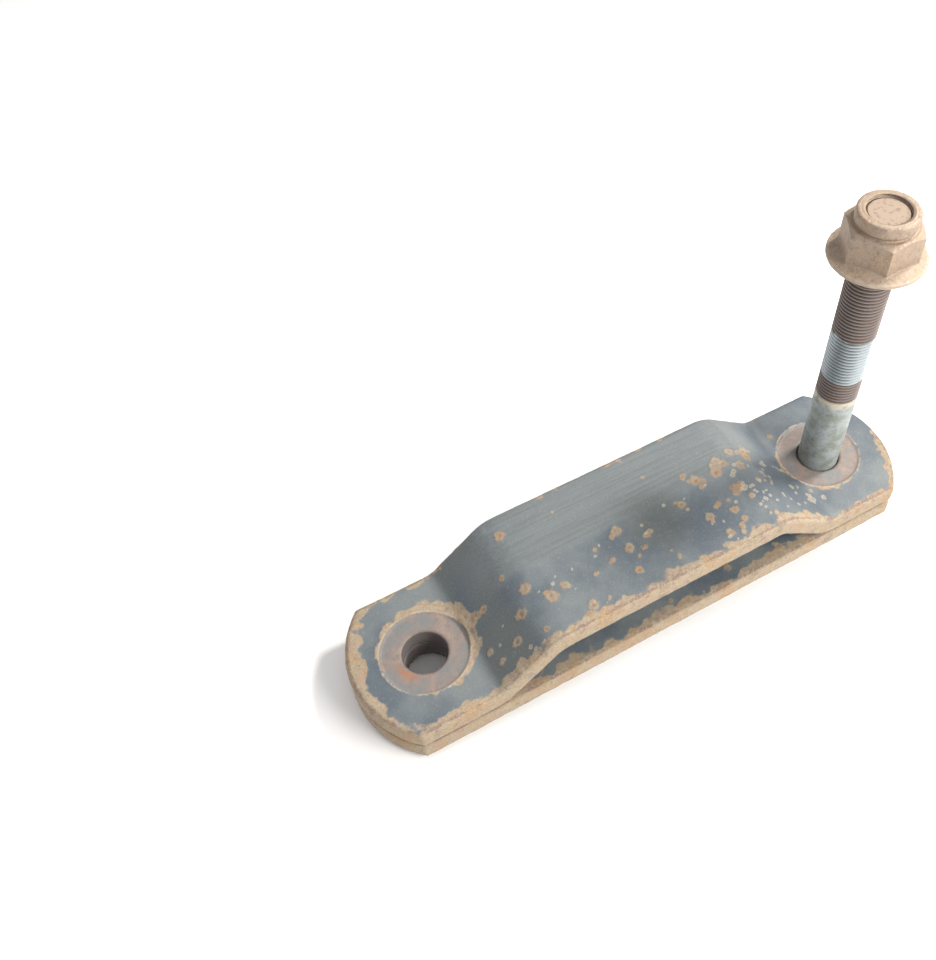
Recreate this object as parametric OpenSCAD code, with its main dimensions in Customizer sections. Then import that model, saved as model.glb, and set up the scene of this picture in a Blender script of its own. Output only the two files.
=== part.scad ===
// Truck leaf-spring shackle: two link plates, stacked, on one pivot bolt with
// its flange lock nut still run up to the end of the thread.
//
// Frame: the origin is on the free eye's axis, in the plane where the two links
// meet. +X runs along the links to the bolt eye, +Z along both eye axes towards
// the nut. Millimetres.

/* [Link plates] */
// Distance between the two eye axes
eye_pitch = 178; // [150:1:220]
// Width of both plates
link_w = 59; // [50:1:70]
// Thickness of each plate
link_t = 9; // [7:0.5:12]
// Eye axis to the tip of the plate
end_reach = 28.5; // [26:0.5:34]
// Radius of the blunt arc at each end
end_r = 39; // [36:0.5:60]
// Radius rolled on all long and end edges by the press tool
edge_r = 1.2; // [0.4:0.1:2]
// Diameter of the eyes
eye_d = 16.5; // [16.4:0.1:18]

/* [Crank of the upper link] */
// Straight length of each ramp, which climbs 3 in 4
ramp_l = 20.5; // [14:0.5:24]
// Bend radius at mid thickness
bend_r = 13; // [10:0.5:15]
// Eye axis to the middle of the ramp
ramp_at = 28.5; // [27:0.5:36]

/* [Seats that the flanges have pressed into the links] */
// Diameter of the nut's seat, around each eye of the upper link
nut_seat_d = 33; // [30:0.5:36]
// Depth of the nut's seat
nut_seat_depth = 0.4; // [0.1:0.1:1]
// Diameter of the head's seat, around each eye of the lower link
head_seat_d = 35; // [34.5:0.5:40]
// Depth of the head's seat
head_seat_depth = 0.3; // [0.1:0.1:1]

/* [Pivot bolt, M16 x 1.5] */
// Diameter of the plain shank
shank_d = 16; // [15.8:0.1:16]
// Crest diameter of the thread, drawn without its helix
thread_d = 15.9; // [15.7:0.05:15.95]
// Length under the head
bolt_l = 140; // [125:1:160]
// Plain length under the head, where the thread starts
plain_l = 56.5; // [40:0.5:80]
// Chamfer on the thread's end
tip_chamfer = 1.35; // [0.5:0.05:2]
// Height of the head with its flange
head_h = 15; // [13:0.5:17]
// Diameter of the head's flange
head_flange_d = 34; // [32:0.5:36]

/* [Flange lock nut] */
// Diameter of the nut's flange
nut_flange_d = 33.5; // [32:0.5:36]
// Height over the locking collar
nut_h = 19.2; // [16:0.1:20]
// How far the collar stands above the bolt's end
nut_proud = 1.2; // [0:0.1:2]
// Diameter of the locking collar
collar_d = 21; // [19:0.5:22]
// Height of the locking collar above the hexagon
collar_h = 5.3; // [4:0.1:6]
// Bore, a running fit over the thread's crests
nut_bore_d = 16.08; // [16:0.02:16.1]

/* [Hexagons and flanges of bolt and nut] */
// Width across the flats
hex_af = 24; // [22:1:24]
// Straight height of a flange's rim
rim_h = 1.4; // [1:0.1:2]

/* [Hidden] */
$fn = 96;
clear = 1;                                  // overshoot of cutting solids
hex_ac = hex_af / cos(30);                  // across the corners
cone_d = hex_af + 1;                        // where a flange's cone meets the hexagon
cone_h = 1.5;                               // height of that cone
point_drop = (hex_ac - hex_af) / 2 * tan(30) * 1.4;   // chamfer fall from flat to corner
arc_x = end_r - end_reach;                  // centre of an end arc, inboard of its eye
ramp_sin = 0.6;                             // a 3-4-5 slope keeps every joint face exact
ramp_cos = 0.8;
ramp_angle = asin(ramp_sin);
crank_rise = 2 * bend_r * (1 - ramp_cos) + ramp_l * ramp_sin;
ramp_run = 2 * bend_r * ramp_sin + ramp_l * ramp_cos;
bend_x = ramp_at - ramp_run / 2;            // where the first bend starts
head_z = head_seat_depth - link_t;          // underside of the head's flange, in its seat
nut_z = head_z + bolt_l + nut_proud - nut_h;   // underside of the nut's flange
collar_round = 1.2;                         // rounding of the collar's top edge
groove = 0.6;                               // groove under the collar

// Rectangle with its four corners rounded, centred on x = 0, standing on y = 0
module rounded_bar_section(w, h, r) {
    translate([-w / 2 + r, 0]) square([w - 2 * r, h]);
    translate([-w / 2, r]) square([w, h - 2 * r]);
    for (side = [-1, 1], y = [r, h - r])
        translate([side * (w / 2 - r), y]) circle(r, $fn = 32);
}

// Straight stretch of plate along +X from x = 0, underside on z = 0
module strip(length) {
    rotate([90, 0, 90]) linear_extrude(length) rounded_bar_section(link_w, link_t, edge_r);
}

// Disc whose rim carries the same rolled edge
module end_disc() {
    rotate_extrude() intersection() {
        rounded_bar_section(2 * end_r, link_t, edge_r);
        square([end_r, link_t]);
    }
}

// Flat end of a plate, from its blunt arc to x = length, with the eye at x = 0
module end_pad(length) {
    intersection() {
        translate([-end_reach - clear, 0, 0]) strip(end_reach + clear + length);
        union() {
            translate([arc_x, 0, 0]) end_disc();
            translate([0, -link_w / 2 - clear, -clear])
                cube([length + clear, link_w + 2 * clear, link_t + 2 * clear]);
        }
    }
}

// Bend from level to the ramp's slope about an axis along Y. It starts at the
// origin, heading +X, and curls upwards.
module bend_up() {
    inner_r = bend_r - link_t / 2;
    reach = 50;
    translate([0, 0, link_t + inner_r]) rotate([90, 0, 0]) intersection() {
        rotate_extrude($fn = 180)
            translate([inner_r, 0]) rotate(-90) rounded_bar_section(link_w, link_t, edge_r);
        translate([0, 0, -link_w]) linear_extrude(2 * link_w)
            polygon([[0, 0], [0, -reach * ramp_cos], [reach * ramp_sin, -reach * ramp_cos]]);
    }
}

// From the flat end at the free eye to the middle of the link
module crank_half() {
    outer_r = bend_r + link_t / 2;
    translate([bend_x, 0, 0]) bend_up();
    translate([bend_x + outer_r * ramp_sin, 0, outer_r * (1 - ramp_cos)])
        rotate([0, -ramp_angle, 0]) strip(ramp_l);
    translate([bend_x + ramp_run, 0, crank_rise + link_t]) rotate([0, 180, 0]) bend_up();
    translate([bend_x + ramp_run, 0, crank_rise])
        strip(eye_pitch / 2 - bend_x - ramp_run);
}

// Both halves of a plate, the second one mirrored about mid length
module both_ends() {
    children();
    translate([eye_pitch, 0, 0]) mirror([1, 0, 0]) children();
}

// Straight holes through a plate at both eyes
module eyes() {
    for (x = [0, eye_pitch])
        translate([x, 0, -clear]) cylinder(d = eye_d, h = link_t + 2 * clear);
}

// Flat plate that the head bears on
module lower_link() {
    color("#8C8A80") translate([0, 0, -link_t]) difference() {
        both_ends() end_pad(eye_pitch / 2);
        eyes();
        for (x = [0, eye_pitch])
            translate([x, 0, -clear]) cylinder(d = head_seat_d, h = head_seat_depth + clear);
    }
}

// Cranked plate on top of it
module upper_link() {
    color("#858E96") difference() {
        both_ends() {
            end_pad(bend_x);
            crank_half();
        }
        eyes();
        for (x = [0, eye_pitch])
            translate([x, 0, link_t - nut_seat_depth])
                cylinder(d = nut_seat_d, h = nut_seat_depth + clear);
    }
}

// Hexagon whose top corners are turned off by a 30 degree cone
module chamfered_hex(h) {
    intersection() {
        cylinder(d = hex_ac, h = h, $fn = 6);
        union() {
            cylinder(d = hex_ac + clear, h = h - point_drop);
            translate([0, 0, h - point_drop])
                cylinder(d1 = hex_ac, d2 = hex_af - 1, h = point_drop);
        }
    }
}

// Round flange: a straight rim and a cone that runs up to the hexagon
module flange(d) {
    rotate_extrude() polygon([
        [0, 0], [d / 2 - 0.3, 0], [d / 2, 0.3], [d / 2, rim_h],
        [cone_d / 2, rim_h + cone_h], [0, rim_h + cone_h]
    ]);
}

// Flange bolt: its hexagon head hangs below the lower link, its thread points up
module pivot_bolt() {
    color("#9A9482") translate([eye_pitch, 0, head_z]) union() {
        mirror([0, 0, 1]) {
            flange(head_flange_d);
            chamfered_hex(head_h);
        }
        rotate_extrude() polygon([
            [0, -rim_h], [shank_d / 2, -rim_h], [shank_d / 2, plain_l], [thread_d / 2, plain_l + 0.5],
            [thread_d / 2, bolt_l - tip_chamfer], [thread_d / 2 - tip_chamfer, bolt_l], [0, bolt_l]
        ]);
    }
}

// All-metal lock nut: flange, hexagon, and the round collar that grips the thread
module flange_nut() {
    collar_r = collar_d / 2;
    hex_h = nut_h - collar_h;
    color("#B49E85") translate([eye_pitch, 0, nut_z]) difference() {
        union() {
            flange(nut_flange_d);
            chamfered_hex(hex_h);
            rotate_extrude() {
                translate([0, hex_h - clear])
                    square([collar_r - groove, clear + collar_h - collar_round]);
                translate([0, hex_h + 1.5 * groove])
                    square([collar_r, collar_h - 1.5 * groove - collar_round]);
                translate([0, nut_h - collar_h / 2])
                    square([collar_r - collar_round, collar_h / 2]);
                translate([collar_r - collar_round, nut_h - collar_round])
                    circle(collar_round, $fn = 32);
            }
        }
        translate([0, 0, -clear]) cylinder(d = nut_bore_d, h = nut_h + 2 * clear);
        cylinder(d1 = nut_bore_d + 1.6, d2 = nut_bore_d, h = 0.8);
    }
}

lower_link();
upper_link();
pivot_bolt();
flange_nut();
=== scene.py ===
"""Leaf spring shackle: two worn steel links, their pivot bolt and its flange nut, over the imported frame."""
import functools
import math
import random

import bpy
import numpy as np
from bpy.props import FloatProperty, FloatVectorProperty, IntProperty, PointerProperty
from mathutils import Matrix, Vector, noise
from mathutils.kdtree import KDTree


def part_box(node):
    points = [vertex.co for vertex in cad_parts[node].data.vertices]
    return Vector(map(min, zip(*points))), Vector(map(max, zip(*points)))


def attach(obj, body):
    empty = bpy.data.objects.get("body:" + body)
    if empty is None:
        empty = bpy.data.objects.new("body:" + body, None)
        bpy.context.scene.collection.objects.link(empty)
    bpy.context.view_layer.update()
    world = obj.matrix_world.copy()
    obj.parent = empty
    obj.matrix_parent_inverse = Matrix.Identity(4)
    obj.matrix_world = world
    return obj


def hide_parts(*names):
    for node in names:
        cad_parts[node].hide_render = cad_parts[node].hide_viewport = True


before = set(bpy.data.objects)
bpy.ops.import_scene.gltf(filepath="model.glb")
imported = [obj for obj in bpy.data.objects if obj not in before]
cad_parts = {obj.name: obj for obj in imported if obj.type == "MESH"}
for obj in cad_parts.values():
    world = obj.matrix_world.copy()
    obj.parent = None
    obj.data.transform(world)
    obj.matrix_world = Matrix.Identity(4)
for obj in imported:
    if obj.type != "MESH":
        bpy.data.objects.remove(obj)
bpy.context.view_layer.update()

bl_info = {
    "name": "Leaf Spring Shackle",
    "version": (1, 0, 0),
    "blender": (4, 5, 0),
    "location": "View3D > Sidebar > Shackle",
    "description": "Builds a used leaf spring shackle: cranked link, flat link, pivot bolt and flange nut",
    "category": "Add Mesh",
}

MM = 0.001
WELD = 0.01 * MM          # points closer than this are one point
LINK_LOW, LINK_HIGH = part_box("lower_link")
NUT_LOW, NUT_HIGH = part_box("flange_nut")
BOLT_LOW, BOLT_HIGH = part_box("pivot_bolt")
NUT_FLANGE = NUT_HIGH.x - NUT_LOW.x
BOLT_X = (NUT_LOW.x + NUT_HIGH.x) / 2


def length(name, text, default, low=0.0):
    """A size in metres for a panel."""
    return FloatProperty(name=name, description=text, default=default, min=low, unit="LENGTH", precision=5)


def linear(code):
    """sRGB hex to a linear colour."""
    parts = [int(code[i:i + 2], 16) / 255 for i in (1, 3, 5)]
    return tuple(p / 12.92 if p <= 0.04045 else ((p + 0.055) / 1.055) ** 2.4 for p in parts) + (1.0,)


def colour(name, text, code):
    """A finish colour for a panel, its default given as sRGB hex."""
    return FloatVectorProperty(name=name, description=text, default=linear(code), size=4, min=0.0, max=1.0,
                               subtype="COLOR")


# ---------------------------------------------------------------- sizes and finishes


class ShackleLinkSizes(bpy.types.PropertyGroup):
    """Sizes of the two links."""

    pitch: length("Eye pitch", "Distance between the two eyes", BOLT_X)
    width: length("Width", "Width of the bar", LINK_HIGH.y - LINK_LOW.y)
    thick: length("Thickness", "Thickness of the bar", LINK_HIGH.z - LINK_LOW.z)
    reach: length("End reach", "Eye centre to the tip of the link", -LINK_LOW.x)
    end_radius: length("End radius", "Radius of the blunt end arc", 39 * MM)
    edge: length("Edge radius", "Radius worn on the outline edges", 2.2 * MM)
    eye: length("Eye diameter", "Diameter of the eyes", 16.5 * MM)
    nut_seat: length("Nut seat", "Diameter of the seat pressed by the nut's flange", 33 * MM)
    head_seat: length("Head seat", "Diameter of the seat pressed by the head's flange", 35 * MM)
    seat_depth: length("Seat depth", "Depth of the nut's seat", 0.4 * MM)
    head_seat_depth: length("Head seat depth", "Depth of the head's seat", 0.3 * MM)
    bend_radius: length("Bend radius", "Radius of the cranks at mid thickness", 13 * MM)
    ramp: length("Ramp length", "Straight length of each ramp", 20.5 * MM)
    ramp_middle: length("Ramp place", "Eye centre to the middle of the ramp", 28.5 * MM)
    grain: length("Skin grain", "Grid of the worn skin", 0.62 * MM, 0.4 * MM)
    relief: length("Relief", "Deepest that rust has eaten into the skin", 0.7 * MM)


class ShackleBoltSizes(bpy.types.PropertyGroup):
    """Sizes of the pivot bolt and its nut."""

    shank: length("Shank diameter", "Plain shank of the bolt", 16 * MM)
    crest: length("Thread crest diameter", "Outside of the thread", 15.86 * MM)
    pitch: length("Thread pitch", "Distance between two crests", 1.5 * MM)
    tooth: length("Thread depth", "Crest to root", 0.86 * MM)
    plain: length("Plain length", "Head to the start of the thread", 56.5 * MM)
    chamfer: length("Point chamfer", "Chamfer on the end of the thread", 1.35 * MM)
    head: length("Head height", "Hexagon head with its flange", 15 * MM)
    head_flange: length("Head flange", "Diameter of the head's flange", 34 * MM)
    hexagon: length("Across flats", "Width across the flats of head and nut", 24 * MM)
    nut_flange: length("Nut flange", "Diameter of the nut's flange", NUT_FLANGE)
    collar: length("Collar diameter", "Locking collar on top of the nut", 21 * MM)
    collar_height: length("Collar height", "Locking collar above the hexagon", 5.3 * MM)
    rim: length("Flange rim", "Straight height of a flange's rim", 1.4 * MM)
    grain: length("Skin grain", "Grid of the nut's worn skin", 0.24 * MM, 0.2 * MM)
    pits: length("Pits", "Deepest pit in the nut's skin", 0.35 * MM)


class ShackleFinish(bpy.types.PropertyGroup):
    """Colours of paint, rust and zinc."""

    paint: colour("Paint", "Slate chassis paint", "#525B62")
    # this pale paint also serves as painted light on the far half of the upper link's raised middle
    pale_paint_and_light: colour("Chalked paint", "Paint gone pale", "#6B7172")
    # this grime also serves as painted shade on the upper link's bend and as the nut's painted shadow
    grime_and_shade: colour("Grime", "Dark oily film", "#474A45")
    rust_tan: colour("Dry rust", "Dry, dusty rust", "#968872")
    rust_ochre: colour("Bright rust", "Fresh, yellower rust", "#987C5C")
    rust_pink: colour("Pinkish rust", "Powdery rust over bare steel", "#998374")
    rust_brown: colour("Old rust", "Old, dense rust", "#6E5C52")
    rust_red: colour("Red rust", "Wet, reddish streak by the free eye", "#9A6644")
    # this chalk colour also paints the highlight on the nut's flange rim
    halo: colour("Chalk", "Pale rim of a chip, rubbed edges and dust", "#B9AF9C")
    steel: colour("Seat steel", "Pressed and stained steel of the seats", "#7F736D")
    zinc: colour("Zinc", "Clean zinc on the thread", "#A2AAAD")
    zinc_dull: colour("Dull zinc", "Chalked zinc on the shank", "#7E837B")
    # painted shade for the roots of the thread
    root_shade: colour("Thread root", "Dirt in the roots of the thread", "#4B443F")
    nut: colour("Nut", "Dusty, pinkish rust over the nut's zinc", "#968473")


class ShackleStage(bpy.types.PropertyGroup):
    """Camera, light and floor."""

    target: FloatVectorProperty(name="Target", description="Point in the middle of the view", size=3,
                                default=(0.0787, 0.0511, 0.0), unit="LENGTH")
    distance: length("Camera distance", "Camera to target", 0.4339)
    azimuth: FloatProperty(name="Camera azimuth", description="Turn round the object",
                           default=math.radians(-27.77), unit="ROTATION")
    elevation: FloatProperty(name="Camera elevation", description="Angle above the links",
                             default=math.radians(52.94), unit="ROTATION")
    roll: FloatProperty(name="Camera roll", description="Turn about the line of sight",
                        default=math.radians(-2.356), unit="ROTATION")
    lens: FloatProperty(name="Lens", description="Focal length in mm", default=39.31, min=1.0)
    shift: FloatProperty(name="Shift", description="Sideways lens shift", default=-0.0802)
    lean: FloatProperty(name="Floor lean", description="The links lean on the bolt's head",
                        default=math.radians(4.31), unit="ROTATION")
    key: FloatProperty(name="Key light", description="Power of the window light in W", default=5.4, min=0.0)
    key_distance: length("Key distance", "Window light to the links", 0.75)
    front: FloatProperty(name="Front light", description="Power of the soft front light in W",
                         default=5.4, min=0.0)
    front_distance: length("Front distance", "Front light to the links", 0.7)
    fill: FloatProperty(name="Sky", description="Strength of the soft light all round", default=0.76, min=0.0)
    seed: IntProperty(name="Seed", description="Seed of the rust's spots", default=7)


# ---------------------------------------------------------------- bench tools


def lone(piece=None):
    """Leave edit mode with only this piece selected, or nothing."""
    if bpy.context.mode != "OBJECT":
        bpy.ops.object.mode_set(mode="OBJECT")
    bpy.ops.object.select_all(action="DESELECT")
    if piece:
        piece.select_set(True)
        bpy.context.view_layer.objects.active = piece
    return piece


def new_piece(name):
    """Name the primitive that was just added and put its place into its mesh."""
    piece = bpy.context.active_object
    piece.name = name
    piece.data.name = name
    bpy.ops.object.transform_apply(location=True, rotation=True, scale=True)
    return piece


def pick_faces(piece, test):
    """In edit mode, select just the faces whose centre and normal pass a test."""
    bpy.ops.object.mode_set(mode="EDIT")
    bpy.ops.mesh.select_mode(type="FACE")
    bpy.ops.mesh.select_all(action="DESELECT")
    bpy.ops.object.mode_set(mode="OBJECT")
    for face in piece.data.polygons:
        face.select = test(face.center, face.normal)
    bpy.ops.object.mode_set(mode="EDIT")


def modify(piece, kind, **settings):
    """Add a modifier, set it and apply it."""
    lone(piece)
    made = piece.modifiers.new(kind.title(), kind)
    for key, value in settings.items():
        setattr(made, key, value)
    bpy.ops.object.modifier_apply(modifier=made.name)


def join_cut(piece, tool, operation):
    """Union, difference or intersection with a tool, which is then thrown away."""
    modify(piece, "BOOLEAN", object=tool, operation=operation, solver="EXACT")
    bpy.data.objects.remove(tool)


def close_seams(piece):
    """Merge doubled points and turn every face outwards."""
    lone(piece)
    bpy.ops.object.mode_set(mode="EDIT")
    bpy.ops.mesh.select_all(action="SELECT")
    bpy.ops.mesh.remove_doubles(threshold=WELD)
    bpy.ops.mesh.normals_make_consistent(inside=False)
    bpy.ops.object.mode_set(mode="OBJECT")


def drum(name, radius, low, high, at=0.0, sides=128, turn=0.0):
    """Closed round or many-sided tool or blank on an axis along Z."""
    lone()
    bpy.ops.mesh.primitive_cylinder_add(vertices=sides, radius=radius, depth=high - low,
                                        location=(at, 0, (low + high) / 2), rotation=(0, 0, turn))
    return new_piece(name)


def turned(name, at, profile, sides=128):
    """A blank turned on an axis along Z: a disc drawn on from one (radius, height) to the next."""
    lone()
    radius, low = profile[0]
    bpy.ops.mesh.primitive_circle_add(vertices=sides, radius=radius, fill_type="NGON", location=(at, 0, low))
    piece = new_piece(name)
    bpy.ops.object.mode_set(mode="EDIT")
    bpy.ops.mesh.select_all(action="SELECT")
    for wide, high in profile[1:]:
        bpy.ops.mesh.extrude_region_move(TRANSFORM_OT_translate={"value": (0, 0, high - low)})
        bpy.ops.transform.resize(value=(wide / radius, wide / radius, 1), center_override=(at, 0, high))
        radius, low = wide, high
    bpy.ops.mesh.select_all(action="SELECT")
    bpy.ops.mesh.normals_make_consistent(inside=False)
    bpy.ops.object.mode_set(mode="OBJECT")
    return piece


def ride_on(piece, node):
    """Let the piece stand for its CAD node and ride on its body."""
    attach(piece, node)
    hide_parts(node)


# ---------------------------------------------------------------- links


def push_on(dx, dz):
    """Push the selected end face straight on."""
    bpy.ops.mesh.extrude_region_move(TRANSFORM_OT_translate={"value": (dx, 0, dz)})


def bend_on(centre, angle, steps=8):
    """Draw the selected end face round a bend about an axis along Y."""
    bpy.ops.mesh.spin(steps=steps, angle=angle, center=centre, axis=(0, 1, 0))


def bar(name, sizes, bottom, cranked):
    """The bar before its ends are cropped: a block drawn on along X, bent up and down again if cranked."""
    half = sizes.pitch / 2
    start = -sizes.reach - MM
    slope = math.atan2(3, 4)
    run = 2 * sizes.bend_radius * math.sin(slope) + sizes.ramp * math.cos(slope)
    rise = 2 * sizes.bend_radius * (1 - math.cos(slope)) + sizes.ramp * math.sin(slope)
    bend_x = sizes.ramp_middle - run / 2
    lone()
    stop = bend_x if cranked else half
    bpy.ops.mesh.primitive_cube_add(size=1, location=((start + stop) / 2, 0, bottom + sizes.thick / 2),
                                    scale=(stop - start, sizes.width, sizes.thick))
    piece = new_piece(name)
    if cranked:
        middle = bottom + sizes.thick / 2
        pick_faces(piece, lambda centre, normal: normal.x > 0.9)
        bend_on((bend_x, 0, middle + sizes.bend_radius), slope)
        push_on(sizes.ramp * math.cos(slope), sizes.ramp * math.sin(slope))
        bend_on((bend_x + run, 0, middle + rise - sizes.bend_radius), -slope)
        push_on(half - bend_x - run, 0)
    pick_faces(piece, lambda centre, normal: centre.x > half - WELD)
    bpy.ops.mesh.delete(type="FACE")
    bpy.ops.object.mode_set(mode="OBJECT")
    lone()
    bpy.ops.object.empty_add(location=(half, 0, 0))
    marker = bpy.context.active_object
    modify(piece, "MIRROR", mirror_object=marker, use_mirror_merge=True, merge_threshold=WELD)
    bpy.data.objects.remove(marker)
    close_seams(piece)
    return piece


def crop_ends(piece, sizes, bottom, top):
    """Crop both ends to their blunt arc with a slotted die, then roll the outline's edges."""
    arc_x = sizes.end_radius - sizes.reach
    die = drum("die", sizes.end_radius, bottom - MM, top + MM, arc_x, 256)
    bpy.ops.object.mode_set(mode="EDIT")
    bpy.ops.mesh.select_mode(type="VERT")
    bpy.ops.mesh.select_all(action="DESELECT")
    bpy.ops.object.mode_set(mode="OBJECT")
    for corner in die.data.vertices:
        corner.select = corner.co.x > arc_x + WELD
    bpy.ops.object.mode_set(mode="EDIT")
    bpy.ops.transform.translate(value=(sizes.pitch - 2 * arc_x, 0, 0))
    bpy.ops.object.mode_set(mode="OBJECT")
    join_cut(piece, die, "INTERSECT")
    lone(piece)
    bpy.ops.object.mode_set(mode="EDIT")
    bpy.ops.mesh.select_mode(type="EDGE")
    bpy.ops.mesh.select_all(action="DESELECT")
    bpy.ops.mesh.edges_select_sharp(sharpness=math.radians(60))
    bpy.ops.mesh.bevel(offset=sizes.edge, segments=4, clamp_overlap=False)
    bpy.ops.object.mode_set(mode="OBJECT")


def drill_eyes(piece, sizes, low, high, seat, seat_low, seat_high):
    """Punch both eyes and press a flange seat round each."""
    for at in (0.0, sizes.pitch):
        join_cut(piece, drum("seat", seat / 2, seat_low, seat_high, at), "DIFFERENCE")
        join_cut(piece, drum("punch", sizes.eye / 2, low - MM, high + MM, at), "DIFFERENCE")


def smooth_step(value):
    """0 below -0.5, 1 above 0.5, smooth between."""
    t = np.clip(value + 0.5, 0, 1)
    return t * t * (3 - 2 * t)


def noise_at(points, size, octaves=2, shift=0.0):
    """Smooth noise from about -1 to 1 at points in mm, with lumps of that size in mm."""
    sx, sy, sz = size if isinstance(size, tuple) else (size, size, size)
    return np.array([noise.fractal(Vector((x / sx + shift, y / sy, z / sz)), 1.0, 2.0, octaves)
                     for x, y, z in points])


def spots(rng, count, area, radius, spread=1.0):
    """Round blisters scattered over an area (x low, x high, y low, y high) in mm: (x, y, radius) each."""
    made = []
    for _ in range(count):
        x = rng.uniform(area[0], area[1])
        y = rng.uniform(area[2], area[3])
        size = radius[0] + (radius[1] - radius[0]) * rng.random() ** 2
        made.append((x, y, size))
        while rng.random() < 0.35 * spread:
            x += rng.uniform(-1.6, 1.6) * size
            y += rng.uniform(-1.2, 1.2) * size
            made.append((x, y, size * rng.uniform(0.5, 0.9)))
    return made


def blisters_on(points, facing, where):
    """How deep each point lies in a blister: 0 outside it, 1 at its middle."""
    depth = np.zeros(len(points))
    wobble = noise_at(points, 1.7, 2, 31.0)
    chosen = np.flatnonzero(facing)
    tree = KDTree(len(chosen))
    for index in chosen:
        tree.insert((points[index][0], points[index][1], 0), int(index))
    tree.balance()
    for x, y, radius in where:
        for _, index, far in tree.find_range((x, y, 0), radius * 1.5):
            inside = 1 - far / (radius * (1 + 0.45 * wobble[index]))
            depth[index] = max(depth[index], inside)
    return depth


def read_points(piece, what="co"):
    """The places of a piece's points, or their normals, as rows of x, y and z."""
    rows = np.empty(len(piece.data.vertices) * 3)
    piece.data.vertices.foreach_get(what, rows)
    return rows.reshape(-1, 3)


def write_mark(piece, name, values):
    """Keep a mask on the piece's own points for its material to read."""
    mark = piece.data.attributes.new(name, "FLOAT", "POINT")
    mark.data.foreach_set("value", np.asarray(values, np.float32))


def eat_skin(piece, shares, deepest):
    """Sink each point of the skin by its share of the deepest pit."""
    group = piece.vertex_groups.new(name="relief")
    for index, share in enumerate(shares):
        group.add((index,), float(share), "REPLACE")
    modify(piece, "DISPLACE", vertex_group="relief", strength=-deepest, mid_level=0.0)


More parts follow.
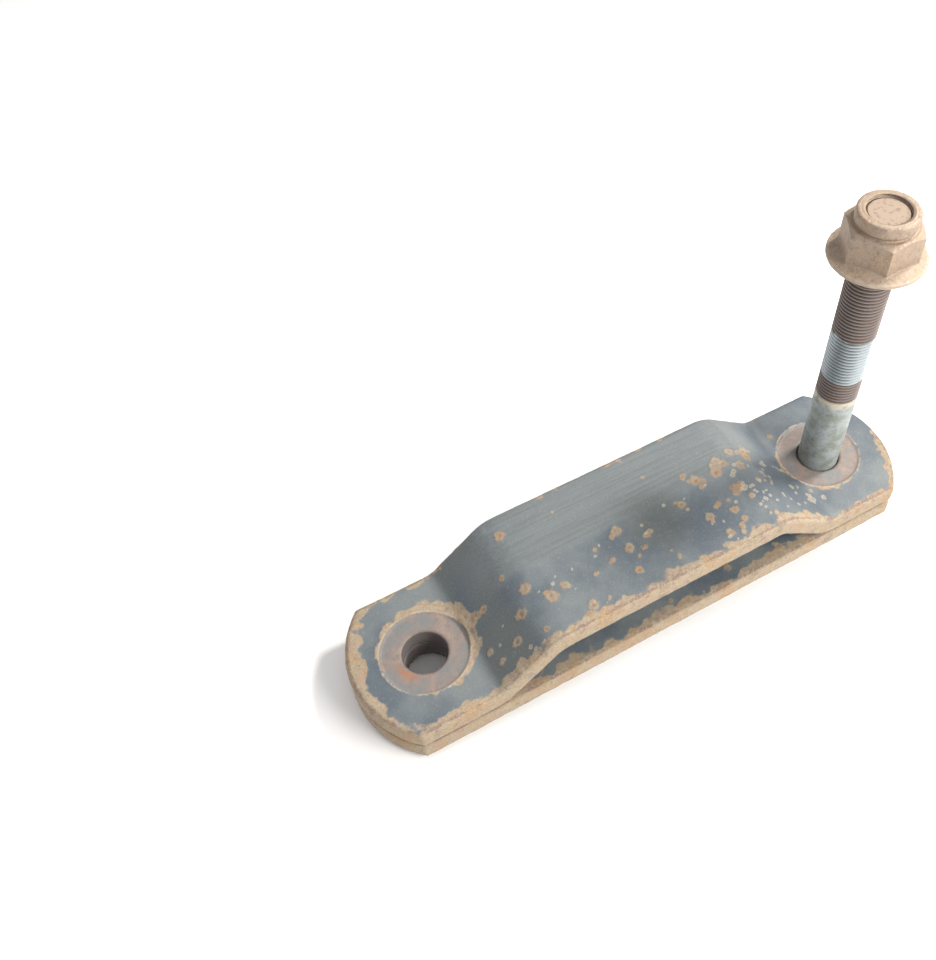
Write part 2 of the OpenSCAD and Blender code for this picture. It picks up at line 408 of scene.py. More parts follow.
def weather_link(piece, sizes, upper, seed):
    """Weather a link's skin: rust along edges and round seats, blisters, chips. Lengths here are in mm."""
    rng = random.Random(seed)
    points = read_points(piece) / MM
    normals = read_points(piece, "normal")
    x, y = points.T[:2]
    pitch, reach = sizes.pitch / MM, sizes.reach / MM
    arc_r, half = sizes.end_radius / MM, sizes.width / MM / 2
    arc_x = arc_r - reach
    near_end = np.where(x < pitch / 2, x, pitch - x)
    arc = np.where(near_end < arc_x, arc_r - np.hypot(near_end - arc_x, y), 99.0)
    rim = np.minimum(half - np.abs(y), arc)
    free_eye = np.hypot(x, y)
    eye = np.minimum(free_eye, np.hypot(x - pitch, y))
    seat_r = (sizes.nut_seat if upper else sizes.head_seat) / MM / 2
    seat_side = normals[:, 2] > 0.5 if upper else normals[:, 2] < -0.5
    face = np.abs(normals[:, 2]) > 0.45
    wide = noise_at(points, 17.0, 2, 3.0)
    lump = noise_at(points, 5.0, 3, 11.0)
    crumb = noise_at(points, 1.6, 2, 19.0)

    # rust creeps in from the edges, less along the far edge, least round the far side of the bolt's end
    band = 3.7 + 2.2 * wide + 2.6 * lump
    if upper:
        band = band - 2.6 * smooth_step((y - 10) / 14) * smooth_step((near_end - 20) / 20)
        band = band - 1.0 * smooth_step((y - 6) / 10)
        band = band + 2.4 * smooth_step((-x - 14) / 10) * smooth_step((14 - np.abs(y)) / 10)
        band = band - 2.6 * smooth_step((y + 4) / 8) * smooth_step((x - pitch + 6) / 10)
    else:
        band = band + 0.6
    rust = smooth_step((band - rim) / 2.2 + 0.3 * crumb)
    # and round the seats of the upper link, mostly on one side of each: least width, swell and its direction
    if upper:
        for eye_x, width, swell, toward, broad in ((0.0, 2.0, 2.8, 0.5, 1.2), (pitch, 0.0, 1.4, 3.9, 0.0)):
            far = np.hypot(x - eye_x, y)
            turn = np.arctan2(y, x - eye_x)
            halo = width + swell * np.cos(turn - toward) + 2.0 * lump + broad * wide
            ring = smooth_step((halo - (far - seat_r)) / 1.8 + 0.3 * crumb) * (far > seat_r - 0.6)
            rust = np.maximum(rust, np.where(seat_side, ring, 0))
    side = smooth_step((0.55 - np.abs(normals[:, 2])) / 0.4) * (rim < 3)
    rust = np.maximum(rust, side)

    # paint blisters, thickest near the bolt and on the near half: count, area, radii
    where = []
    for count, area, radius in (
            (15, (14, 58, -25, 20), (1.3, 3.0)),
            (17, (60, 116, -25, 3), (0.8, 2.5)),
            (2, (60, 110, 6, 26), (0.6, 1.0)),
            (26, (112, 158, -24, 10), (0.9, 2.9)),
            (5, (150, 198, -26, 26), (0.8, 2.2))):
        where += spots(rng, count, area, radius)
    blister = blisters_on(points, face & (normals[:, 2] > 0), where)
    under = spots(rng, 60, (-20, 198, -27, 27), (1.0, 3.0))
    blister = np.maximum(blister, blisters_on(points, face & (normals[:, 2] < 0), under))
    blister = np.where((eye < seat_r) & seat_side, 0, blister)
    chips = []
    if upper:
        chips += spots(rng, 46, (132, 168, -22, 3), (0.7, 1.5), 0.8)
        chips += spots(rng, 22, (20, 130, -26, 2), (0.5, 1.1), 0.4)
    chip = blisters_on(points, face & (normals[:, 2] > 0), chips)
    seat = np.where(seat_side, smooth_step((seat_r - eye) / 1.0), 0)
    lip = np.where(seat_side, np.exp(-((eye - seat_r - 0.3) / 0.7) ** 2), 0)
    wall = smooth_step((sizes.eye / MM / 2 + 0.9 - eye) / 0.8)
    # a wet streak round the free eye, on the side away from the bolt
    swing = np.angle(np.exp(1j * (np.arctan2(y, x) + 2.75)))
    streak = np.exp(-((free_eye - 10.6 + 1.2 * lump) / 1.7) ** 2 - (swing / 0.5) ** 2) * (0.9 + 0.5 * lump)

    # relief below the CAD skin
    deep = 0.22 + 0.08 * wide
    crust = 0.08 + 0.05 * crumb + 0.10 * lump
    deep = deep * (1 - rust) + (0.14 + crust) * rust
    dome = np.clip(blister, 0, 1)
    deep = deep - 0.16 * smooth_step(dome * 3 - 0.5) + 0.22 * smooth_step((dome - 0.62) * 4) * (crumb > -0.2)
    deep = deep + 0.10 * np.clip(chip, 0, 1)
    shear = noise_at(points, (5.0, 5.0, 3.4), 3, 41.0)
    deep = deep + side * (0.12 * shear + 0.06)
    deep = deep * (1 - seat) + (0.12 + 0.05 * crumb) * seat - 0.12 * lip
    deepest = sizes.relief / MM
    deep = np.clip(deep, 0.0, deepest)
    for name, values in (("rust", rust), ("blister", blister), ("chip", chip), ("seat", seat),
                         ("lip", lip), ("wall", wall), ("rim", rim / 10), ("streak", streak)):
        write_mark(piece, name, values)
    eat_skin(piece, deep / deepest, sizes.relief)


def link(name, upper):
    """One link from bar to worn piece."""
    scene = bpy.context.scene
    sizes = scene.shackle_links
    low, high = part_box(name)
    piece = bar(name + "_forging", sizes, low.z, upper)
    crop_ends(piece, sizes, low.z, high.z)
    flat_top = low.z + sizes.thick
    if upper:
        drill_eyes(piece, sizes, low.z, high.z, sizes.nut_seat, flat_top - sizes.seat_depth, flat_top + MM)
    else:
        drill_eyes(piece, sizes, low.z, high.z, sizes.head_seat, low.z - MM, low.z + sizes.head_seat_depth)
    modify(piece, "REMESH", mode="VOXEL", voxel_size=sizes.grain, use_smooth_shade=True)
    modify(piece, "SMOOTH", factor=0.5, iterations=2)
    weather_link(piece, sizes, upper, scene.shackle_stage.seed + (0 if upper else 100))
    piece.data.materials.clear()
    piece.data.materials.append(painted_steel(scene.shackle_finish, name))
    ride_on(piece, name)
    lone()


# ---------------------------------------------------------------- bolt and nut


def thread_rod(name, at, low, high, crest, pitch, tooth):
    """A right-hand thread: one turn of its tooth drawn round and up, then cut square at both ends."""
    lone()
    root = crest - tooth
    turns = math.ceil((high - low) / pitch) + 3
    start = math.floor(low / pitch) * pitch - pitch
    bpy.ops.mesh.primitive_plane_add(size=MM, location=(at + root, 0, start))
    piece = new_piece(name)
    bpy.ops.object.mode_set(mode="EDIT")
    bpy.ops.mesh.select_mode(type="VERT")
    bpy.ops.mesh.select_all(action="SELECT")
    bpy.ops.mesh.merge(type="CENTER")
    # root flat, flank up, crest flat, flank down, as shares of the pitch
    radius, share = root, 0.0
    for wide, place in ((root, 0.14), (crest, 0.44), (crest, 0.70), (root, 1.0)):
        push_on(wide - radius, (place - share) * pitch)
        radius, share = wide, place
    bpy.ops.object.mode_set(mode="OBJECT")
    lone()
    bpy.ops.object.empty_add(location=(at, 0, 0))
    axis = bpy.context.active_object
    modify(piece, "SCREW", axis="Z", object=axis, screw_offset=pitch, iterations=turns, steps=64,
           render_steps=64, use_merge_vertices=True, merge_threshold=0.005 * MM)
    bpy.data.objects.remove(axis)
    lone(piece)
    for height, side in ((low, 1), (high, -1)):
        bpy.ops.object.mode_set(mode="EDIT")
        bpy.ops.mesh.select_all(action="SELECT")
        bpy.ops.mesh.remove_doubles(threshold=0.005 * MM)
        bpy.ops.mesh.bisect(plane_co=(at, 0, height), plane_no=(0, 0, side), use_fill=True,
                            clear_inner=True, threshold=0.0001 * MM)
    bpy.ops.mesh.select_all(action="SELECT")
    bpy.ops.mesh.normals_make_consistent(inside=False)
    bpy.ops.object.mode_set(mode="OBJECT")
    return piece


def hexagon(name, at, low, high, flats):
    """Hexagon bar with a corner along X."""
    return drum(name, flats / math.sqrt(3), low, high, at, 6, math.radians(30))


class SHACKLE_OT_bolt(bpy.types.Operator):
    """Turn the pivot bolt: flanged hexagon head, plain shank and threaded end."""

    bl_idname = "shackle.bolt"
    bl_label = "Pivot bolt"

    def execute(self, context):
        s = context.scene.shackle_bolt
        low, tip = BOLT_LOW.z, BOLT_HIGH.z
        seat = low + s.head
        start = seat + s.plain
        flat, rim = s.hexagon / 2, s.head_flange / 2
        outside = s.hexagon / math.sqrt(3) + 0.4 * MM      # clear of the hexagon's corners
        shank_r, crest_r = s.shank / 2, s.crest / 2
        root_r = crest_r - s.tooth
        fall = 1.5 * MM                                    # of the corners' chamfer and of the flange's cone
        soft = 0.3 * MM                                    # rounding of the flange's edge
        hexa = hexagon("hexagon", BOLT_X, low, seat - 0.2 * MM, s.hexagon)
        crown = turned("crown", BOLT_X, (
            (flat - 1.0 * MM, low), (flat - 0.4 * MM, low + 0.25 * MM), (outside, low + fall),
            (outside, seat)))
        join_cut(hexa, crown, "INTERSECT")
        dish = turned("dish", BOLT_X, ((8.2 * MM, low - MM), (7.6 * MM, low + 0.5 * MM)))
        join_cut(hexa, dish, "DIFFERENCE")
        flange = turned("flange", BOLT_X, (
            (flat + 0.5 * MM, seat - s.rim - fall), (rim, seat - s.rim), (rim, seat - soft),
            (rim - soft, seat), (shank_r - 0.6 * MM, seat)))
        join_cut(hexa, flange, "UNION")
        shank = turned("shank", BOLT_X, (
            (shank_r - MM, seat - 2 * MM), (shank_r, seat - 2 * MM), (shank_r, start - 0.5 * MM),
            (crest_r - 0.25 * MM, start), (root_r - 0.3 * MM, start + 0.7 * MM),
            (root_r - 0.5 * MM, start + MM)))
        rod = thread_rod("thread", BOLT_X, start - 0.45 * MM, tip, crest_r, s.pitch, s.tooth)
        point = turned("point", BOLT_X, (
            (crest_r + MM, start - MM), (crest_r + MM, tip - s.chamfer - MM), (crest_r - s.chamfer, tip)))
        join_cut(rod, point, "INTERSECT")
        join_cut(shank, rod, "UNION")
        join_cut(hexa, shank, "UNION")
        finish_turned(hexa, "pivot_bolt_turned")
        mark_bolt(hexa, s, start)
        hexa.data.materials.append(zinc_bolt(context.scene.shackle_finish, start, tip))
        ride_on(hexa, "pivot_bolt")
        lone()
        return {"FINISHED"}


def mark_bolt(piece, s, start):
    """Mark how far each point of the thread stands above its root; the finish paints shade into the roots by
    this mark.
    """
    points = read_points(piece)
    far = np.hypot(points[:, 0] - BOLT_X, points[:, 1])
    above = np.clip((far - s.crest / 2 + s.tooth) / s.tooth, 0, 1)
    write_mark(piece, "crest", np.where(points[:, 2] > start, above, 1.0))


def finish_turned(piece, name):
    """Name a finished part, close its seams and shade it."""
    piece.name = name
    piece.data.name = name
    close_seams(piece)
    bpy.ops.object.shade_smooth_by_angle(angle=math.radians(28))
    piece.data.materials.clear()


class SHACKLE_OT_nut(bpy.types.Operator):
    """Make the flange lock nut: conical flange, chamfered hexagon, grooved locking collar, threaded bore."""

    bl_idname = "shackle.nut"
    bl_label = "Flange nut"

    def execute(self, context):
        s = context.scene.shackle_bolt
        low, high = NUT_LOW.z, NUT_HIGH.z
        top = high - s.collar_height
        flat, rim, collar = s.hexagon / 2, s.nut_flange / 2, s.collar / 2
        outside = s.hexagon / math.sqrt(3) + 0.4 * MM      # clear of the hexagon's corners
        crest_r = s.crest / 2
        gap = 0.22 * MM                                    # between the two threads
        hexa = hexagon("hexagon", BOLT_X, low + 0.2 * MM, top, s.hexagon)
        crown = turned("crown", BOLT_X, (
            (outside, low), (outside, top - 1.5 * MM), (flat - 0.3 * MM, top - 0.15 * MM),
            (flat - 0.7 * MM, top)))
        join_cut(hexa, crown, "INTERSECT")
        flange = turned("flange", BOLT_X, (
            (rim - 0.4 * MM, low), (rim, low + 0.3 * MM), (rim, low + s.rim),
            (rim - 0.4 * MM, low + s.rim + 0.2 * MM), (flat + 0.5 * MM, low + s.rim + 1.7 * MM)))
        join_cut(hexa, flange, "UNION")
        ring = turned("ring", BOLT_X, (
            (collar - 0.6 * MM, top - MM), (collar - 0.6 * MM, top + 0.7 * MM), (collar - 0.1 * MM, top + MM),
            (collar, top + 1.3 * MM), (collar, high - 1.2 * MM), (collar - 0.15 * MM, high - 0.65 * MM),
            (collar - 0.5 * MM, high - 0.22 * MM), (collar - MM, high - 0.03 * MM), (collar - 1.4 * MM, high),
            (collar - 2.3 * MM, high)))
        join_cut(hexa, ring, "UNION")
        tap = thread_rod("tap", BOLT_X, low - MM, high + MM, crest_r + gap, s.pitch, s.tooth)
        join_cut(hexa, tap, "DIFFERENCE")
        mouth = turned("mouth", BOLT_X, ((crest_r + 1.4 * MM, low - MM), (crest_r + 0.9 * MM, low),
                                         (crest_r - 0.6 * MM, low + 1.3 * MM)))
        join_cut(hexa, mouth, "DIFFERENCE")
        finish_turned(hexa, "flange_nut_turned")
        modify(hexa, "REMESH", mode="VOXEL", voxel_size=s.grain, use_smooth_shade=True)
        modify(hexa, "SMOOTH", factor=0.4, iterations=1)
        pit_nut(hexa, s)
        hexa.data.materials.append(dusty_nut(context.scene.shackle_finish))
        ride_on(hexa, "flange_nut")
        lone()
        return {"FINISHED"}


def pit_nut(piece, s):
    """Pit the nut's skin, its flange's rim most of all."""
    points = read_points(piece) / MM
    crumb = noise_at(points, 1.5, 3, 5.0)
    lump = noise_at(points, 5.0, 2, 9.0)
    far = np.hypot(points[:, 0] - BOLT_X / MM, points[:, 1])
    outer = smooth_step((far - s.crest / MM / 2 - 0.6) / 0.5)
    deep = outer * (0.10 + 0.05 * lump + 0.10 * np.clip(crumb - 0.1, 0, 1) + 0.04 * crumb)
    # painted highlight: the flange's outer rim is marked to be painted paler
    write_mark(piece, "paled", smooth_step((far - s.nut_flange / MM / 2 + 1.0) / 1.2 + 0.5 * crumb))
    eat_skin(piece, np.clip(deep * MM / s.pits, 0, 1), s.pits)


class SHACKLE_OT_links(bpy.types.Operator):
    """Draw, crop, punch and weather the cranked upper link and the flat lower link."""

    bl_idname = "shackle.links"
    bl_label = "Upper and lower link"

    def execute(self, context):
        link("upper_link", True)
        link("lower_link", False)
        return {"FINISHED"}


# ---------------------------------------------------------------- finishes


CRUMBLY = 0.62            # how much of a noise's height is in its finer lumps


def add(tree, kind, inputs=(), out=0, **settings):
    """Add a node, set its properties, set or link its inputs, and hand back one of its outputs, if any."""
    made = tree.nodes.new("ShaderNode" + kind)
    for key, value in settings.items():
        setattr(made, key, value)
    for socket, value in dict(inputs).items():
        if isinstance(value, bpy.types.NodeSocket):
            tree.links.new(value, made.inputs[socket])
        else:
            made.inputs[socket].default_value = value
    return made.outputs[out] if made.outputs else None


def new_finish(name):
    """An empty node material, with the hand that adds nodes to it."""
    made = bpy.data.materials.new(name)
    made.use_nodes = True
    made.node_tree.nodes.clear()
    return made, functools.partial(add, made.node_tree)


def lay_coats(put, body, coats):
    """Lay colours over each other: each shows from one value of its mask to another, up to its strength."""
    for mask, low, high, most, tint in coats:
        share = put("MapRange", {0: mask, 1: low, 2: high, 4: most}, interpolation_type="SMOOTHSTEP")
        body = put("Mix", {0: share, 6: body, 7: tint}, 2, data_type="RGBA")
    return body


def painted_steel(f, name):
    """Brush-painted steel bar that has rusted: chalky slate paint, matt dusty rust that creeps in softly from
    the edges and the seats, stains and ringed chips, pressed seats stained brown. On the upper link, painted
    light on the raised middle's far half, painted shade on the bend by the free eye and a painted shadow of
    the nut. Nothing on it is shiny."""
    finish, put = new_finish("painted_rusted_steel_" + name)
    where = put("TexCoord", out="Object")
    rust, blister, chip, seat, lip, wall, rim, streak = [
        put("Attribute", out="Fac", attribute_name=mark)
        for mark in ("rust", "blister", "chip", "seat", "lip", "wall", "rim", "streak")]
    # lumps in mm: chalky clouds, rust patches, blotches, crumbs, grain, dust
    cloud, patch, blotch, crumb, fine, dust = [
        put("TexNoise", {"Vector": where, "Scale": 1 / (size * MM), "Detail": detail, "Roughness": CRUMBLY})
        for size, detail in ((30, 3), (8, 3), (4.3, 3), (2.2, 4), (1.2, 3), (0.7, 2))]
    # brush marks 1 mm wide and some 30 mm long
    drawn = put("Mapping", {"Vector": where, "Scale": (0.03, 1.0, 1.0)})
    brush = put("TexNoise", {"Vector": drawn, "Scale": 1 / MM, "Detail": 3, "Roughness": CRUMBLY})
    along, across, high = put("SeparateXYZ", {0: where}).node.outputs

    paint = lay_coats(put, f.paint, ((cloud, 0.35, 0.65, 1.0, f.pale_paint_and_light),))
    if name == "upper_link":
        # painted light and shade on the upper link: the raised middle's far half is painted paler and
        # brushed, and the bend by the free eye is darkened
        # painted light: a paler coat over the raised middle's far half, its edge made wavy by the clouds
        wavy = put("Math", {0: cloud, 1: 12 * MM, 2: across}, operation="MULTIPLY_ADD")
        raised = put("MapRange", {0: high, 1: 12 * MM, 2: 22 * MM})
        far = put("MapRange", {0: wavy, 1: 4 * MM, 2: 12 * MM, 4: raised}, interpolation_type="SMOOTHSTEP")
        streaky = put("Math", {0: far, 1: brush}, operation="MULTIPLY")
        # painted shade: the bend by the free eye is darkened in cloudy patches
        bend = put("MapRange", {0: along, 1: 48 * MM, 2: 30 * MM}, interpolation_type="SMOOTHSTEP")
        bend = put("MapRange", {0: along, 1: 10 * MM, 2: 20 * MM, 4: bend}, interpolation_type="SMOOTHSTEP")
        bend_shade = put("Math", {0: bend, 1: cloud}, operation="MULTIPLY")
        # painted shadow: a soft dark patch round the point where the nut's shadow falls on the raised middle
        middle = (96 * MM, -4 * MM, 26.5 * MM)
        nut_shadow = put("VectorMath", {0: where, 1: middle}, "Value", operation="DISTANCE")
        paint = lay_coats(put, paint, (
            (far, 0.0, 1.0, 0.8, f.pale_paint_and_light),
            (streaky, 0.35, 0.75, 0.35, f.grime_and_shade),
            (bend_shade, 0.3, 0.62, 0.5, f.grime_and_shade),
            (nut_shadow, 18 * MM, 5 * MM, 0.5, f.grime_and_shade)))
    paint = lay_coats(put, paint, ((dust, 0.5, 0.8, 0.12, f.halo), (crumb, 0.6, 0.78, 0.12, f.halo)))

    # a browner band just inside the outline; rim is the distance from it in cm
    worn = put("MapRange", {0: rim, 1: 0.02, 2: 0.12}, interpolation_type="SMOOTHSTEP")
    worn = put("MapRange", {0: rim, 1: 0.36, 2: 0.12, 4: worn}, interpolation_type="SMOOTHSTEP")
    worn = put("Math", {0: worn, 1: blotch}, operation="MULTIPLY")
    crust = lay_coats(put, f.rust_tan, (
        (patch, 0.45, 0.65, 0.75, f.rust_ochre),
        (blotch, 0.50, 0.66, 0.75, f.rust_pink),
        (patch, 0.44, 0.30, 0.5, f.rust_brown),
        (worn, 0.30, 0.55, 0.65, f.rust_brown),
        (crumb, 0.52, 0.72, 0.45, f.rust_brown),
        (fine, 0.48, 0.68, 0.25, f.rust_brown),
        (dust, 0.46, 0.72, 0.32, f.halo)))
    ragged = put("Math", {0: crumb, 1: 0.8, 2: rust}, operation="MULTIPLY_ADD")
    rusted = put("MapRange", {0: ragged, 1: 0.5, 2: 1.25}, interpolation_type="SMOOTHSTEP")
    body = put("Mix", {0: rusted, 6: paint, 7: crust}, 2, data_type="RGBA")

    # a stain spreads softly from a blister and is darkest in its pit; a chip is a pale ring
    near = put("MapRange", {0: blister, 1: 0.0, 2: 0.3, 4: 0.35})
    bubble = put("Math", {0: crumb, 1: near, 2: blister}, operation="MULTIPLY_ADD")
    spot = lay_coats(put, f.rust_tan, (
        (blotch, 0.42, 0.58, 1.0, f.rust_ochre), (fine, 0.45, 0.65, 0.4, f.rust_brown)))
    ring = put("MapRange", {0: chip, 1: 0.85, 2: 0.45}, interpolation_type="SMOOTHSTEP")
    ring = put("MapRange", {0: chip, 1: 0.05, 2: 0.3, 4: ring}, interpolation_type="SMOOTHSTEP")
    body = lay_coats(put, body, (
        (bubble, 0.0, 0.55, 0.85, spot),
        (bubble, 0.75, 1.1, 0.5, f.rust_brown),
        (chip, 0.3, 0.9, 0.5, f.rust_ochre),
        (ring, 0.0, 1.0, 0.42, f.halo)))

    stain = lay_coats(put, f.steel, (
        (crumb, 0.45, 0.7, 0.45, f.rust_brown),
        (dust, 0.45, 0.72, 0.3, f.rust_tan),
        (patch, 0.42, 0.66, 0.75, f.pale_paint_and_light),
        (patch, 0.44, 0.32, 0.4, f.rust_pink),
        (streak, 0.1, 0.9, 0.7, f.rust_red)))
    paled = put("Math", {0: lip, 1: crumb}, operation="MULTIPLY")
    body = lay_coats(put, body, (
        (seat, 0.0, 1.0, 1.0, stain),
        (paled, 0.3, 0.6, 0.5, f.halo),
        (wall, 0.0, 1.0, 0.55, f.rust_brown)))

    rough = put("MapRange", {0: rusted, 3: 0.5, 4: 0.92})
    height = put("Math", {0: crumb, 1: rusted, 2: dust}, operation="MULTIPLY_ADD")
    height = put("Math", {0: brush, 1: 0.15, 2: height}, operation="MULTIPLY_ADD")
    bump = put("Bump", {"Height": height, "Strength": 0.3, "Distance": 0.3 * MM})
    shader = put("BsdfPrincipled", {
        "Base Color": body, "Roughness": rough, "Normal": bump, "IOR": 1.5, "Specular IOR Level": 0.4})
    put("OutputMaterial", {"Surface": shader})
    return finish


def zinc_bolt(f, start, tip):
    """Zinc-plated, cold-forged bolt: grey chalked shank with fine scratches, bright bluish zinc where a nut
    had covered the thread, brown rust above and below it. The clean stretch is the only shiny metal."""
    finish, put = new_finish("zinc_plated_steel_bolt")
    where = put("TexCoord", out="Object")
    crest = put("Attribute", out="Fac", attribute_name="crest")
    # lumps in mm: chalky clouds, crumbs, scratches round the shank, grit
    cloud, crumb, grit = [
        put("TexNoise", {"Vector": where, "Scale": 1 / (size * MM), "Detail": detail, "Roughness": CRUMBLY})
        for size, detail in ((6, 4), (1.8, 3), (0.6, 3))]
    turned_on = put("Mapping", {"Vector": where, "Scale": (0.3, 0.3, 1.0)})
    scratch = put("TexNoise", {
        "Vector": turned_on, "Scale": 1 / (0.9 * MM), "Detail": 3, "Roughness": CRUMBLY})
    high = put("SeparateXYZ", {0: where}, 2)
    wavy = put("Math", {0: cloud, 1: 4 * MM, 2: high}, operation="MULTIPLY_ADD")
    base = start + 2 * MM
    dull = lay_coats(put, f.zinc_dull, (
        (cloud, 0.35, 0.65, 0.7, f.zinc),
        (scratch, 0.56, 0.72, 0.45, f.grime_and_shade),
        (crumb, 0.58, 0.72, 0.25, f.grime_and_shade),
        (grit, 0.6, 0.72, 0.35, f.grime_and_shade),
        (grit, 0.45, 0.3, 0.35, f.halo)))
    # painted shade: the thread's roots are darker than its crests, in the rusty stretch and the clean one
    rusty = lay_coats(put, f.root_shade, (
        (crest, 0.2, 1.0, 0.88, f.steel),
        (cloud, 0.5, 0.62, 0.4, f.rust_brown),
        (grit, 0.6, 0.74, 0.35, f.halo)))
    bright = lay_coats(put, f.root_shade, ((crest, 0.0, 0.7, 1.0, f.zinc), (grit, 0.64, 0.74, 0.3, f.rust_brown)))
    # cream scale on the shoulder, then brown thread, then the clean stretch
    scale_edge = put("MapRange", {0: crumb, 1: 0.34, 2: 0.48}, interpolation_type="SMOOTHSTEP")
    cream = put("MapRange", {0: wavy, 1: base - 3.4 * MM, 2: base - 1.6 * MM, 4: scale_edge})
    clean = put("MapRange", {0: wavy, 1: base + 32.4 * MM, 2: base + 31.6 * MM},
                interpolation_type="SMOOTHSTEP")
    clean = put("MapRange", {0: wavy, 1: base + 10.4 * MM, 2: base + 11.2 * MM, 4: clean},
                interpolation_type="SMOOTHSTEP")
    head = put("MapRange", {0: high, 1: -8.6 * MM, 2: -9.5 * MM})
    end = put("MapRange", {0: high, 1: tip - 1.2 * MM, 2: tip - 0.2 * MM})
    pits = put("Math", {0: end, 1: crumb}, operation="MULTIPLY")
    body = lay_coats(put, dull, (
        (cream, 0.0, 1.0, 0.8, f.halo),
        (high, start + 0.1 * MM, start + 0.9 * MM, 1.0, rusty),
        (clean, 0.0, 1.0, 1.0, bright),
        (head, 0.0, 1.0, 0.8, f.rust_brown),
        (end, 0.0, 1.0, 1.0, f.nut),
        (pits, 0.53, 0.64, 0.6, f.rust_brown)))
    metal = put("MapRange", {0: clean, 3: 0.2, 4: 0.75})
    rough = put("MapRange", {0: clean, 3: 0.62, 4: 0.38})
    height = put("Math", {0: grit, 1: scratch}, operation="ADD")
    bump = put("Bump", {"Height": height, "Strength": 0.2, "Distance": 0.25 * MM})
    shader = put("BsdfPrincipled", {
        "Base Color": body, "Roughness": rough, "Metallic": metal, "Normal": bump})
    put("OutputMaterial", {"Surface": shader})
    return finish


def dusty_nut(f):
    """Zinc-plated nut under rust dust: pinkish tan, blotched ochre and brown, with a painted highlight on its
    flange's rim.
    """
    finish, put = new_finish("rust_dusted_zinc_nut")
    where = put("TexCoord", out="Object")
    paled = put("Attribute", out="Fac", attribute_name="paled")
    # lumps in mm: blotches, crumbs, grit
    blotch, crumb, grit = [
        put("TexNoise", {"Vector": where, "Scale": 1 / (size * MM), "Detail": detail, "Roughness": CRUMBLY})
        for size, detail in ((7, 3), (1.8, 4), (0.5, 2))]
    body = lay_coats(put, f.nut, (
        (blotch, 0.45, 0.62, 0.35, f.rust_ochre),
        (blotch, 0.46, 0.34, 0.4, f.rust_brown),
        (crumb, 0.52, 0.68, 0.5, f.rust_brown),
        (grit, 0.5, 0.7, 0.3, f.halo),
        # painted highlight on the flange's rim
        (paled, 0.2, 1.0, 0.3, f.halo)))
    height = put("Math", {0: grit, 1: 0.4, 2: crumb}, operation="MULTIPLY_ADD")
    bump = put("Bump", {"Height": height, "Strength": 0.35, "Distance": 0.3 * MM})
    shader = put("BsdfPrincipled", {
        "Base Color": body, "Roughness": 0.6, "Metallic": 0.2, "Normal": bump})
    put("OutputMaterial", {"Surface": shader})
    return finish


def white_floor():
    """Matt white board: soft, barely cloudy, no shine."""
    finish, put = new_finish("matt_white_board")
    # clouds of 60 mm
    where = put("TexCoord", out="Object")
    cloud = put("TexNoise", {"Vector": where, "Scale": 1 / (60 * MM), "Detail": 2, "Roughness": CRUMBLY})
    tone = lay_coats(put, linear("#F2F1EE"), ((cloud, 0.3, 0.7, 1.0, linear("#F7F6F4")),))
    shader = put("BsdfPrincipled", {
        "Base Color": tone, "Roughness": 0.9, "Specular IOR Level": 0.1})
    put("OutputMaterial", {"Surface": shader})
    return finish


# ---------------------------------------------------------------- stage


def lamp(name, power, distance, toward, wide, tint):
    """A round soft light that faces the middle of the links; wide is its size over its distance."""
    toward = Vector(toward).normalized()
    bpy.ops.object.light_add(type="AREA", location=Vector((BOLT_X / 2, 0, 10 * MM)) + toward * distance)
    made = bpy.context.active_object
    made.name = name
    made.rotation_euler = toward.to_track_quat("Z", "Y").to_euler()
    made.data.shape = "DISK"
    made.data.size = wide * distance
    made.data.energy = power
    made.data.color = linear(tint)[:3]


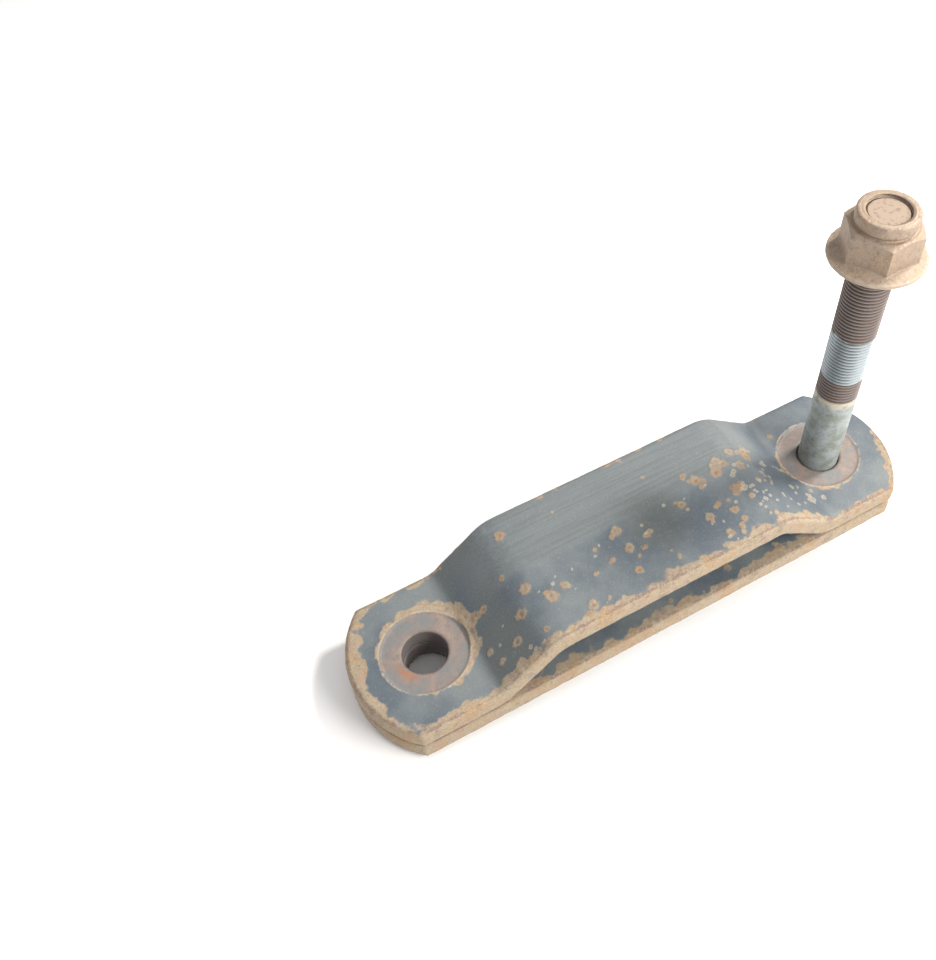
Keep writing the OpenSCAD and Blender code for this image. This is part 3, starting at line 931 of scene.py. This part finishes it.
class SHACKLE_OT_stage(bpy.types.Operator):
    """Lay the pale floor, light it like a bright window and set up the camera."""

    bl_idname = "shackle.stage"
    bl_label = "Stage"

    def execute(self, context):
        scene = context.scene
        s = scene.shackle_stage
        lone()
        bpy.ops.mesh.primitive_grid_add(x_subdivisions=4, y_subdivisions=4, size=6)
        floor = bpy.context.active_object
        floor.name = "floor"
        floor.rotation_euler = (0, s.lean, 0)
        corner = Vector((LINK_LOW.x, 0, LINK_LOW.z))
        floor.location = corner - Vector((0, 0, 0.2 * MM))
        bpy.ops.object.transform_apply(location=True, rotation=True, scale=True)
        floor.data.materials.append(white_floor())

        world = bpy.data.worlds.new("soft_room")
        world.use_nodes = True
        backdrop = world.node_tree.nodes["Background"]
        backdrop.inputs["Color"].default_value = linear("#FBFBFF")
        backdrop.inputs["Strength"].default_value = s.fill
        scene.world = world
        scene.view_settings.view_transform = "Standard"

        lamp("window", s.key, s.key_distance, (0.67, 0.05, 0.74), 0.2, "#FFFAF3")
        lamp("front", s.front, s.front_distance, (0.40, -0.70, 0.60), 0.6, "#FFFDFA")

        level = math.cos(s.elevation)
        out = Vector((math.sin(s.azimuth) * level, -math.cos(s.azimuth) * level, math.sin(s.elevation)))
        bpy.ops.object.camera_add(location=Vector(s.target) + out * s.distance)
        camera = bpy.context.active_object
        camera.name = "camera"
        aim = out.to_track_quat("Z", "Y").to_matrix()
        camera.rotation_euler = (aim @ Matrix.Rotation(s.roll, 3, "Z")).to_euler()
        camera.data.lens = s.lens
        camera.data.shift_x = s.shift
        camera.data.clip_start = 0.01
        scene.camera = camera
        lone()
        return {"FINISHED"}


class SHACKLE_PT_panel(bpy.types.Panel):
    """Lists the shackle's sizes and its making steps."""

    bl_label = "Leaf spring shackle"
    bl_idname = "SHACKLE_PT_panel"
    bl_space_type = "VIEW_3D"
    bl_region_type = "UI"
    bl_category = "Shackle"

    def draw(self, context):
        for step in STEPS:
            self.layout.operator(step.bl_idname)
        for name in GROUPS:
            group = getattr(context.scene, name)
            box = self.layout.box()
            for key in group.__annotations__:
                box.prop(group, key)


GROUPS = {
    "shackle_links": ShackleLinkSizes,
    "shackle_bolt": ShackleBoltSizes,
    "shackle_finish": ShackleFinish,
    "shackle_stage": ShackleStage,
}
STEPS = (SHACKLE_OT_stage, SHACKLE_OT_links, SHACKLE_OT_bolt, SHACKLE_OT_nut)


def register():
    for made in (*GROUPS.values(), *STEPS, SHACKLE_PT_panel):
        bpy.utils.register_class(made)
    for name, group in GROUPS.items():
        setattr(bpy.types.Scene, name, PointerProperty(type=group))


def unregister():
    for name in GROUPS:
        delattr(bpy.types.Scene, name)
    for made in (SHACKLE_PT_panel, *reversed(STEPS), *reversed(GROUPS.values())):
        bpy.utils.unregister_class(made)


def main():
    """Make everything in order."""
    register()
    bpy.ops.shackle.stage()
    bpy.ops.shackle.links()
    bpy.ops.shackle.bolt()
    bpy.ops.shackle.nut()


if __name__ == "__main__":
    main()
